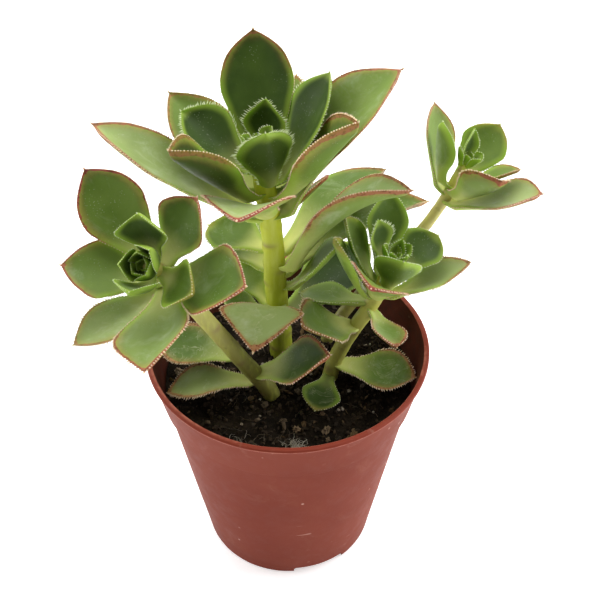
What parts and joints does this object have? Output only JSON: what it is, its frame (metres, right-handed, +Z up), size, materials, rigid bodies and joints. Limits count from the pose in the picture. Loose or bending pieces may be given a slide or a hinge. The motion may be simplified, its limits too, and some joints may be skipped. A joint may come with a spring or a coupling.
{
  "type": "potted aeonium",
  "caption": "Young branched aeonium with open leaf rosettes on bare stems, rooted in dark potting soil in a small round terracotta-coloured plastic nursery pot.",
  "frame": {"origin": "centre of the pot's base, on the surface that the pot stands on", "axes": "+Z up along the pot's axis; -Y towards the side the plant is looked at from; +X to the right of that view, towards the tallest side branch"},
  "size_m": [0.0868, 0.0624, 0.1033],
  "materials": {
    "pot": "matte terracotta-coloured polypropylene with a faint sheen",
    "soil": "moist, loose, peat and bark with light grains",
    "stem": "satin green bark, yellowish",
    "leaf": "waxy, fleshy leaf, satin"
  },
  "bodies": {
    "root": {"crown_leaf_01": "leaf", "crown_leaf_02": "leaf", "crown_leaf_03": "leaf", "crown_leaf_04": "leaf", "crown_leaf_05": "leaf", "crown_leaf_06": "leaf", "crown_leaf_07": "leaf", "crown_leaf_08": "leaf", "crown_leaf_09": "leaf", "crown_leaf_10": "leaf", "crown_leaf_11": "leaf", "crown_leaf_12": "leaf", "crown_leaf_13": "leaf", "far_leaf_01": "leaf", "far_leaf_02": "leaf", "far_leaf_03": "leaf", "far_leaf_04": "leaf", "far_leaf_05": "leaf", "far_leaf_06": "leaf", "far_stem": "stem", "left_leaf_01": "leaf", "left_leaf_02": "leaf", "left_leaf_03": "leaf", "left_leaf_04": "leaf", "left_leaf_05": "leaf", "left_leaf_06": "leaf", "left_leaf_07": "leaf", "left_leaf_08": "leaf", "left_leaf_09": "leaf", "left_stem": "stem", "left_stem_leaf_01": "leaf", "left_stem_leaf_02": "leaf", "left_stem_leaf_03": "leaf", "main_stem": "stem", "main_stem_leaf_01": "leaf", "main_stem_leaf_02": "leaf", "main_stem_leaf_03": "leaf", "main_stem_leaf_04": "leaf", "main_stem_leaf_05": "leaf", "main_stem_leaf_06": "leaf", "main_stem_leaf_07": "leaf", "main_stem_leaf_08": "leaf", "main_stem_leaf_09": "leaf", "main_stem_leaf_10": "leaf", "pot": "pot", "right_leaf_01": "leaf", "right_leaf_02": "leaf", "right_leaf_03": "leaf", "right_leaf_04": "leaf", "right_leaf_05": "leaf", "right_leaf_06": "leaf", "right_leaf_07": "leaf", "right_leaf_08": "leaf", "right_stem": "stem", "right_stem_leaf_01": "leaf", "right_stem_leaf_02": "leaf", "right_stem_leaf_03": "leaf", "right_stem_leaf_04": "leaf", "right_stem_leaf_05": "leaf", "soil": "soil"}
  },
  "joints": []
}
